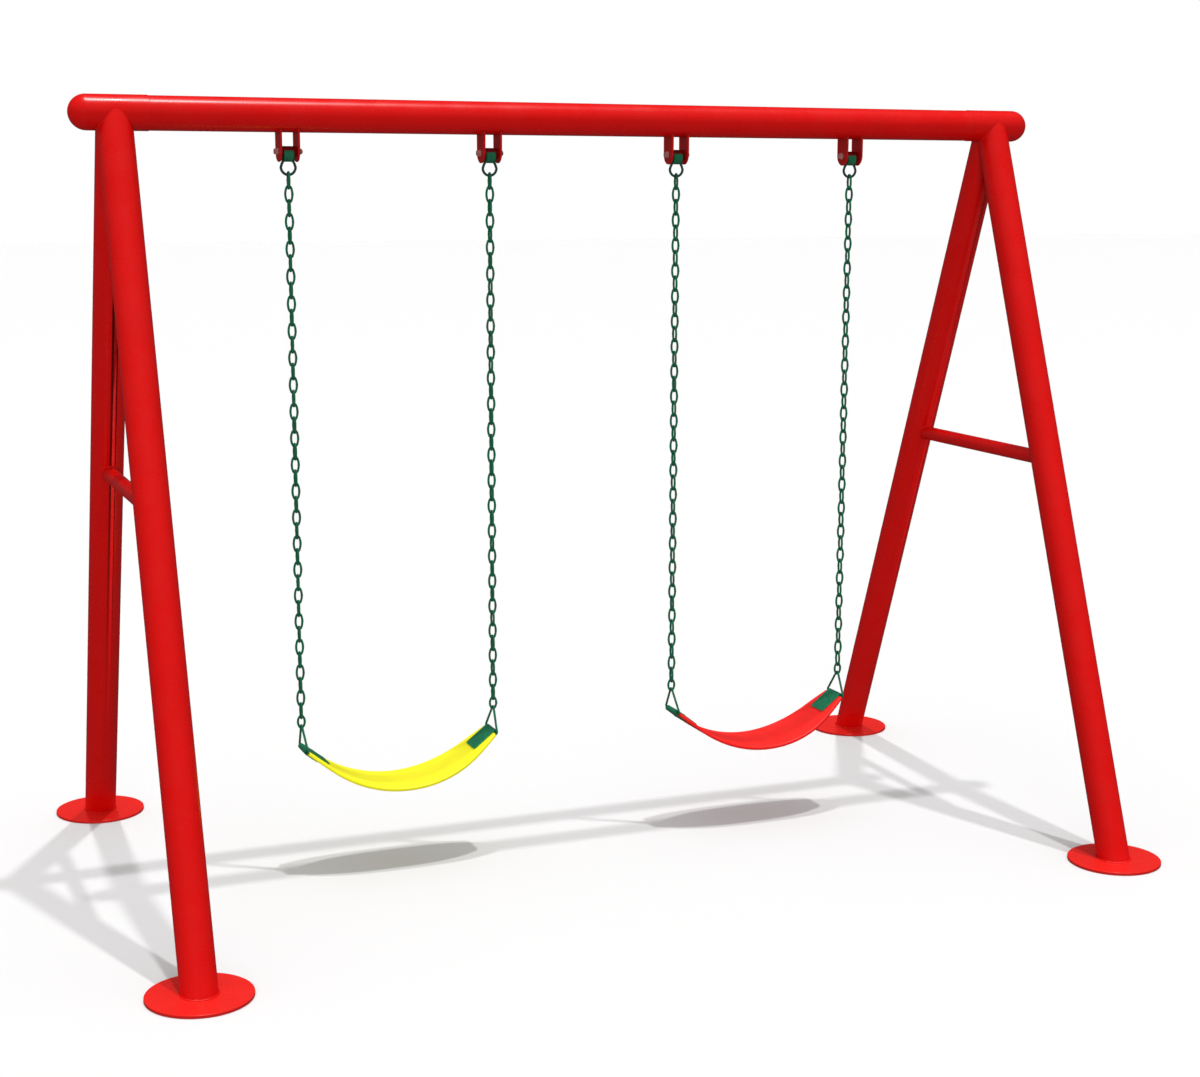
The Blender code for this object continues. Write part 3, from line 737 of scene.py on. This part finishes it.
def build_ring(node, pin_z):
    """A D of bent rod: a straight bar through the barrel, and a half circle below."""
    low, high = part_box(node)
    x = (low.x + high.x) / 2
    half_width = (high.x - low.x) / 2 - RING_WIRE_RADIUS
    top = half_width - RING_WAIST_INSET
    bottom_z = low.z + RING_WIRE_RADIUS
    round_z = bottom_z + half_width
    path = []
    for way, turns in ((-1, range(BEND_STEPS + 1)), (1, range(BEND_STEPS, -1, -1))):
        for step in turns:
            turn = pi / 2 * step / BEND_STEPS
            across = top - RING_CORNER * (1 - cos(pi / 2 - turn))
            path.append(Vector((x + way * across, 0, pin_z - RING_CORNER * (1 - sin(turn)))))
    path.append(Vector((x + top, 0, pin_z - RING_WAIST_DROP)))
    for step in range(ARC_STEPS + 1):
        turn = -pi * step / ARC_STEPS
        path.append(Vector((x + half_width * cos(turn), 0, round_z + half_width * sin(turn))))
    path.append(Vector((x - top, 0, pin_z - RING_WAIST_DROP)))
    middle = Vector((x, 0, round_z))
    bm = bmesh.new()
    sweep(bm, path, [point - middle for point in path], [RING_WIRE_RADIUS] * len(path), WIRE_SIDES)
    add_piece(node, bm, RING_GREEN)


# Chains


def add_link(bm, centre, across, pitch):
    """An oval link: tight arcs at its ends, wide ones at its sides, and a weld's swelling in one side."""
    end_centre = pitch / 2 + WIRE_RADIUS - LINK_END_RADIUS
    half_width = LINK_HALF_WIDTH
    spread = half_width**2 + end_centre**2 - LINK_END_RADIUS**2
    side_radius = spread / (2 * (half_width - LINK_END_RADIUS))
    meeting = atan2(end_centre, side_radius - half_width)
    offsets = []
    for end in (1, -1):
        for step in range(LINK_STEPS):
            turn = meeting * (2 * step / LINK_STEPS - 1)
            side = side_radius * cos(turn) - side_radius + half_width
            offsets.append((across * side + Z_AXIS * (side_radius * sin(turn))) * end)
        for step in range(LINK_STEPS):
            turn = meeting + (pi - 2 * meeting) * step / LINK_STEPS
            rise = end_centre + LINK_END_RADIUS * sin(turn)
            offsets.append((across * (LINK_END_RADIUS * cos(turn)) + Z_AXIS * rise) * end)
    points = [centre + offset for offset in offsets]
    radii = []
    for offset in offsets:
        near = max(0, 1 - abs(offset.z) / LINK_WELD_LENGTH) if offset.dot(across) > 0 else 0
        radii.append(WIRE_RADIUS * (1 + LINK_WELD_SWELL * near))
    sweep(bm, points, offsets, radii, WIRE_SIDES)


def inside_length(node, links=1):
    """The inside length of each link in a run."""
    return (sizes_of(node).z - 2 * WIRE_RADIUS - 2 * (WIRE_RADIUS - CAD_GAP / 2)) / links


def build_chain(node, end_link, random):
    """Links at right angles in turn, each a little twisted, and the link below them."""
    middle = centre_of(node)
    pitch = inside_length(node, CHAIN_LINKS)
    bm = bmesh.new()
    for number in range(1, CHAIN_LINKS + 1):
        centre = Vector((middle.x, 0, middle.z + pitch * (number - (CHAIN_LINKS + 1) / 2)))
        twist = random.uniform(-LINK_TWIST, LINK_TWIST)
        across = Matrix.Rotation(twist, 3, "Z") @ (Y_AXIS if number % 2 else X_AXIS)
        add_link(bm, centre, across, pitch)
    add_piece(node, bm, GREEN)
    bm = bmesh.new()
    add_link(bm, centre_of(end_link), X_AXIS, inside_length(end_link))
    add_piece(end_link, bm, GREEN)


# Seats


def seat_slope(hanger, inward):
    """The triangle base's centre, the way along the belt's end, and the way up off it."""
    low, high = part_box(f"{hanger}_end_plate")
    outer = BELT_THICKNESS / 2 + CAD_GAP + PLATE_THICKNESS
    x = low.x + outer if inward > 0 else high.x - outer
    along = Vector((inward * cos(BELT_SLOPE), 0, -sin(BELT_SLOPE)))
    off = Vector((inward * sin(BELT_SLOPE), 0, cos(BELT_SLOPE)))
    return Vector((x, 0, high.z - outer)), along, off


def build_triangle(hanger, inward):
    """Wire bent to a triangle, its point in the end link and its base in the end plate's fold."""
    end_link = f"{hanger}_end_link"
    base, _, _ = seat_slope(hanger, inward)
    link = centre_of(end_link)
    top = Vector((link.x, 0, link.z - inside_length(end_link) / 2 + WIRE_RADIUS))
    up = (top - base).normalized()
    drop = (top - base).length - TRIANGLE_APEX_BEND
    reach = hypot(TRIANGLE_HALF_BASE, drop)
    corner_angle = atan2(drop, TRIANGLE_HALF_BASE) + asin(TRIANGLE_APEX_BEND / reach)
    peak = base + up * (TRIANGLE_HALF_BASE * tan(corner_angle))
    corners = [base - Y_AXIS * TRIANGLE_HALF_BASE, base + Y_AXIS * TRIANGLE_HALF_BASE, peak]
    path = rounded_profile(corners, (TRIANGLE_BASE_BEND, TRIANGLE_BASE_BEND, TRIANGLE_APEX_BEND))
    middle = (base * 2 + top) / 3
    bm = bmesh.new()
    sweep(bm, path, [point - middle for point in path], [WIRE_RADIUS] * len(path), WIRE_SIDES)
    add_piece(f"{hanger}_triangle", bm, GREEN)


def corner_width(half_width, to_end):
    """The half width of a plate whose corners are rounded, at a distance from its end."""
    inside = max(0, PLATE_CORNER - to_end)
    return half_width - PLATE_CORNER + sqrt(PLATE_CORNER**2 - inside**2)


def build_end_plate(hanger, inward):
    """A sheet folded round the triangle's base and riveted through the belt."""
    base, along, off = seat_slope(hanger, inward)
    radius = BELT_THICKNESS / 2 + CAD_GAP + PLATE_THICKNESS / 2
    half = PLATE_THICKNESS / 2
    sections = []
    edge_steps = [PLATE_CORNER * (1 - cos(pi / 2 * i / BEND_STEPS)) for i in range(BEND_STEPS + 1)]
    for to_end in edge_steps:
        at = base + along * (PLATE_TOP_LENGTH - to_end) + off * radius
        sections.append((at, off, corner_width(PLATE_HALF_WIDTH, to_end), half))
    for step in range(FOLD_STEPS + 1):
        turn = pi * step / FOLD_STEPS
        normal = off * cos(turn) - along * sin(turn)
        sections.append((base + normal * radius, normal, PLATE_HALF_WIDTH, half))
    for to_end in edge_steps[::-1]:
        at = base + along * (PLATE_BOTTOM_LENGTH - to_end) - off * radius
        sections.append((at, -off, corner_width(PLATE_HALF_WIDTH, to_end), half))
    bm = bmesh.new()
    strip(bm, sections, PLATE_EDGE)
    for y in (-RIVET_Y, RIVET_Y):
        for way in (1, -1):
            seat = base + along * RIVET_ALONG + Y_AXIS * y + off * (way * (radius + half - CAD_GAP))
            profile = [(0, 0), (RIVET_RADIUS, 0)]
            for step in range(1, BEND_STEPS + 1):
                turn = pi / 2 * step / BEND_STEPS
                profile.append((RIVET_RADIUS * cos(turn), RIVET_HEIGHT * sin(turn)))
            profile[-1] = (0, RIVET_HEIGHT)
            turned(bm, profile, seat, off * way, SMALL_SIDES)
    add_piece(f"{hanger}_end_plate", bm, PLATE_GREEN)


def belt_line(half_chord, base_z):
    """Points and upward normals along half of the belt's middle line, from its lowest point."""
    radius = (half_chord - BELT_STRAIGHT * cos(BELT_SLOPE)) / sin(BELT_SLOPE)
    low_z = base_z - BELT_STRAIGHT * sin(BELT_SLOPE) - radius * (1 - cos(BELT_SLOPE))
    line = []
    for step in range(BELT_STEPS + 1):
        turn = BELT_SLOPE * step / BELT_STEPS
        point = Vector((radius * sin(turn), 0, low_z + radius * (1 - cos(turn))))
        line.append((point, Vector((-sin(turn), 0, cos(turn)))))
    last, normal = line[-1]
    slope = Vector((cos(BELT_SLOPE), 0, sin(BELT_SLOPE)))
    straight = BELT_STRAIGHT - BELT_END_INSET
    for step in range(1, BEND_STEPS + 1):
        line.append((last + slope * (straight * step / BEND_STEPS), normal))
    return line


def build_belt(swing, material):
    """A thick strip in its hanging curve, narrower toward both ends."""
    node = f"{swing}_belt"
    middle_half_width = sizes_of(node).y / 2
    left = seat_slope(f"{swing}_left", 1)[0]
    right = seat_slope(f"{swing}_right", -1)[0]
    middle = (left.x + right.x) / 2
    half = belt_line((right.x - left.x) / 2, left.z)
    mirror = Matrix.Diagonal((-1, 1, 1))
    whole = [(mirror @ point, mirror @ normal) for point, normal in half[:0:-1]] + half
    end_x = half[-1][0].x
    sections = []
    for point, normal in whole:
        share = abs(point.x) / end_x
        half_width = middle_half_width - (middle_half_width - BELT_END_HALF_WIDTH) * share**BELT_TAPER
        sections.append((point + X_AXIS * middle, normal, half_width, BELT_THICKNESS / 2))
    bm = bmesh.new()
    strip(bm, sections, BELT_EDGE)
    add_piece(node, bm, material)


def build_hanger(hanger):
    bolt_z = centre_of(f"{hanger}_pivot_nut").z
    pin_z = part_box(f"{hanger}_ring")[1].z - RING_WIRE_RADIUS
    build_ear(f"{hanger}_ear_a", bolt_z)
    build_ear(f"{hanger}_ear_b", bolt_z)
    build_bolt(f"{hanger}_pivot_bolt", f"{hanger}_pivot_nut")
    build_nut(f"{hanger}_pivot_nut")
    build_sleeve(f"{hanger}_pivot_sleeve")
    build_barrel(f"{hanger}_barrel", pin_z)
    build_ring(f"{hanger}_ring", pin_z)


# Studio


def build_floor():
    """A wide pale floor. It doesn't light the object, so undersides stay in shade."""
    corners = [(x * FLOOR_HALF, y * FLOOR_HALF, 0) for x, y in ((-1, -1), (1, -1), (1, 1), (-1, 1))]
    mesh = bpy.data.meshes.new("floor")
    mesh.from_pydata(corners, [], [range(len(corners))])
    material, _ = start_material("pale_floor", FLOOR_GREY, roughness=0.9, specular=0.1)
    mesh.materials.append(material)
    floor = bpy.data.objects.new("floor", mesh)
    bpy.context.scene.collection.objects.link(floor)
    floor.location.z = FLOOR_Z
    floor.visible_diffuse = False
    floor.visible_glossy = False


def add_sun(name, toward, strength, angle):
    """A far lamp that shines from the direction of a vector. Its angle is its width as seen from here."""
    light = bpy.data.lights.new(name, "SUN")
    light.energy = strength
    light.angle = angle
    lamp = bpy.data.objects.new(name, light)
    bpy.context.scene.collection.objects.link(lamp)
    lamp.rotation_mode = "QUATERNION"
    lamp.rotation_quaternion = Vector(toward).to_track_quat("Z", "Y")
    return lamp


def build_world():
    """A pale sky, brighter above. The camera sees it white."""
    world = bpy.data.worlds.new("studio")
    bpy.context.scene.world = world
    world.use_nodes = True
    tree = world.node_tree
    sky = tree.nodes["Background"]
    sky.inputs["Color"].default_value = WHITE
    direction = tree.nodes.new("ShaderNodeTexCoord")
    parts = tree.nodes.new("ShaderNodeSeparateXYZ")
    spread = tree.nodes.new("ShaderNodeMapRange")
    spread.inputs["To Min"].default_value = SKY_LOW
    spread.inputs["To Max"].default_value = SKY_HIGH
    tree.links.new(direction.outputs["Generated"], parts.inputs["Vector"])
    tree.links.new(parts.outputs["Z"], spread.inputs["Value"])
    tree.links.new(spread.outputs["Result"], sky.inputs["Strength"])
    rays = tree.nodes.new("ShaderNodeLightPath")
    seen = sky.outputs["Background"]
    for ray, strength in (("Is Glossy Ray", REFLECTED_SKY), ("Is Camera Ray", SEEN_SKY)):
        other = tree.nodes.new("ShaderNodeBackground")
        other.inputs["Color"].default_value = WHITE
        other.inputs["Strength"].default_value = strength
        mix = tree.nodes.new("ShaderNodeMixShader")
        tree.links.new(rays.outputs[ray], mix.inputs["Fac"])
        tree.links.new(seen, mix.inputs[1])
        tree.links.new(other.outputs["Background"], mix.inputs[2])
        seen = mix.outputs["Shader"]
    tree.links.new(seen, tree.nodes["World Output"].inputs["Surface"])


def build_camera():
    """Looks along +Y, turned to the right by the yaw, up by the pitch, and then rolled."""
    flat = cos(CAMERA_PITCH)
    ahead = Vector((sin(CAMERA_YAW) * flat, cos(CAMERA_YAW) * flat, sin(CAMERA_PITCH)))
    level = Vector((cos(CAMERA_YAW), -sin(CAMERA_YAW), 0))
    above = level.cross(ahead)
    right = level * cos(CAMERA_ROLL) + above * sin(CAMERA_ROLL)
    up = above * cos(CAMERA_ROLL) - level * sin(CAMERA_ROLL)
    data = bpy.data.cameras.new("camera")
    data.sensor_width = SENSOR_WIDTH
    data.lens = LENS
    data.clip_end = VIEW_DEPTH
    camera = bpy.data.objects.new("camera", data)
    bpy.context.scene.collection.objects.link(camera)
    turn = Matrix((right, up, -ahead)).transposed().to_4x4()
    camera.matrix_world = Matrix.Translation(CAMERA_PLACE) @ turn
    bpy.context.scene.camera = camera


build_beam()
for side in ("left", "right"):
    build_head(side)
    build_brace(side)
    for depth in ("front", "rear"):
        build_leg(side, depth)
        build_foot(side, depth)
random = Random(TWIST_SEED)
for swing, belt_material, belt_slot in (
    ("left_swing", YELLOW_BELT, "yellow_belt"),
    ("right_swing", RED_BELT, "red_belt"),
):
    for side, inward in (("left", 1), ("right", -1)):
        hanger = f"{swing}_{side}"
        build_hanger(hanger)
        build_chain(f"{hanger}_chain", f"{hanger}_end_link", random)
        build_triangle(hanger, inward)
        build_end_plate(hanger, inward)
    build_belt(swing, belt_material)

build_floor()
build_world()
add_sun("front_key", toward=(0.32, -0.209, 2.15), strength=1.23, angle=KEY_ANGLE)
add_sun("top_key", toward=(0.036, -0.007, 2.15), strength=1.18, angle=KEY_ANGLE)
fill = add_sun("front_fill", toward=(-0.38, -0.92, 0.03), strength=1.57, angle=FILL_ANGLE)
fill.visible_glossy = False
build_camera()
bpy.context.scene.view_settings.view_transform = "Standard"
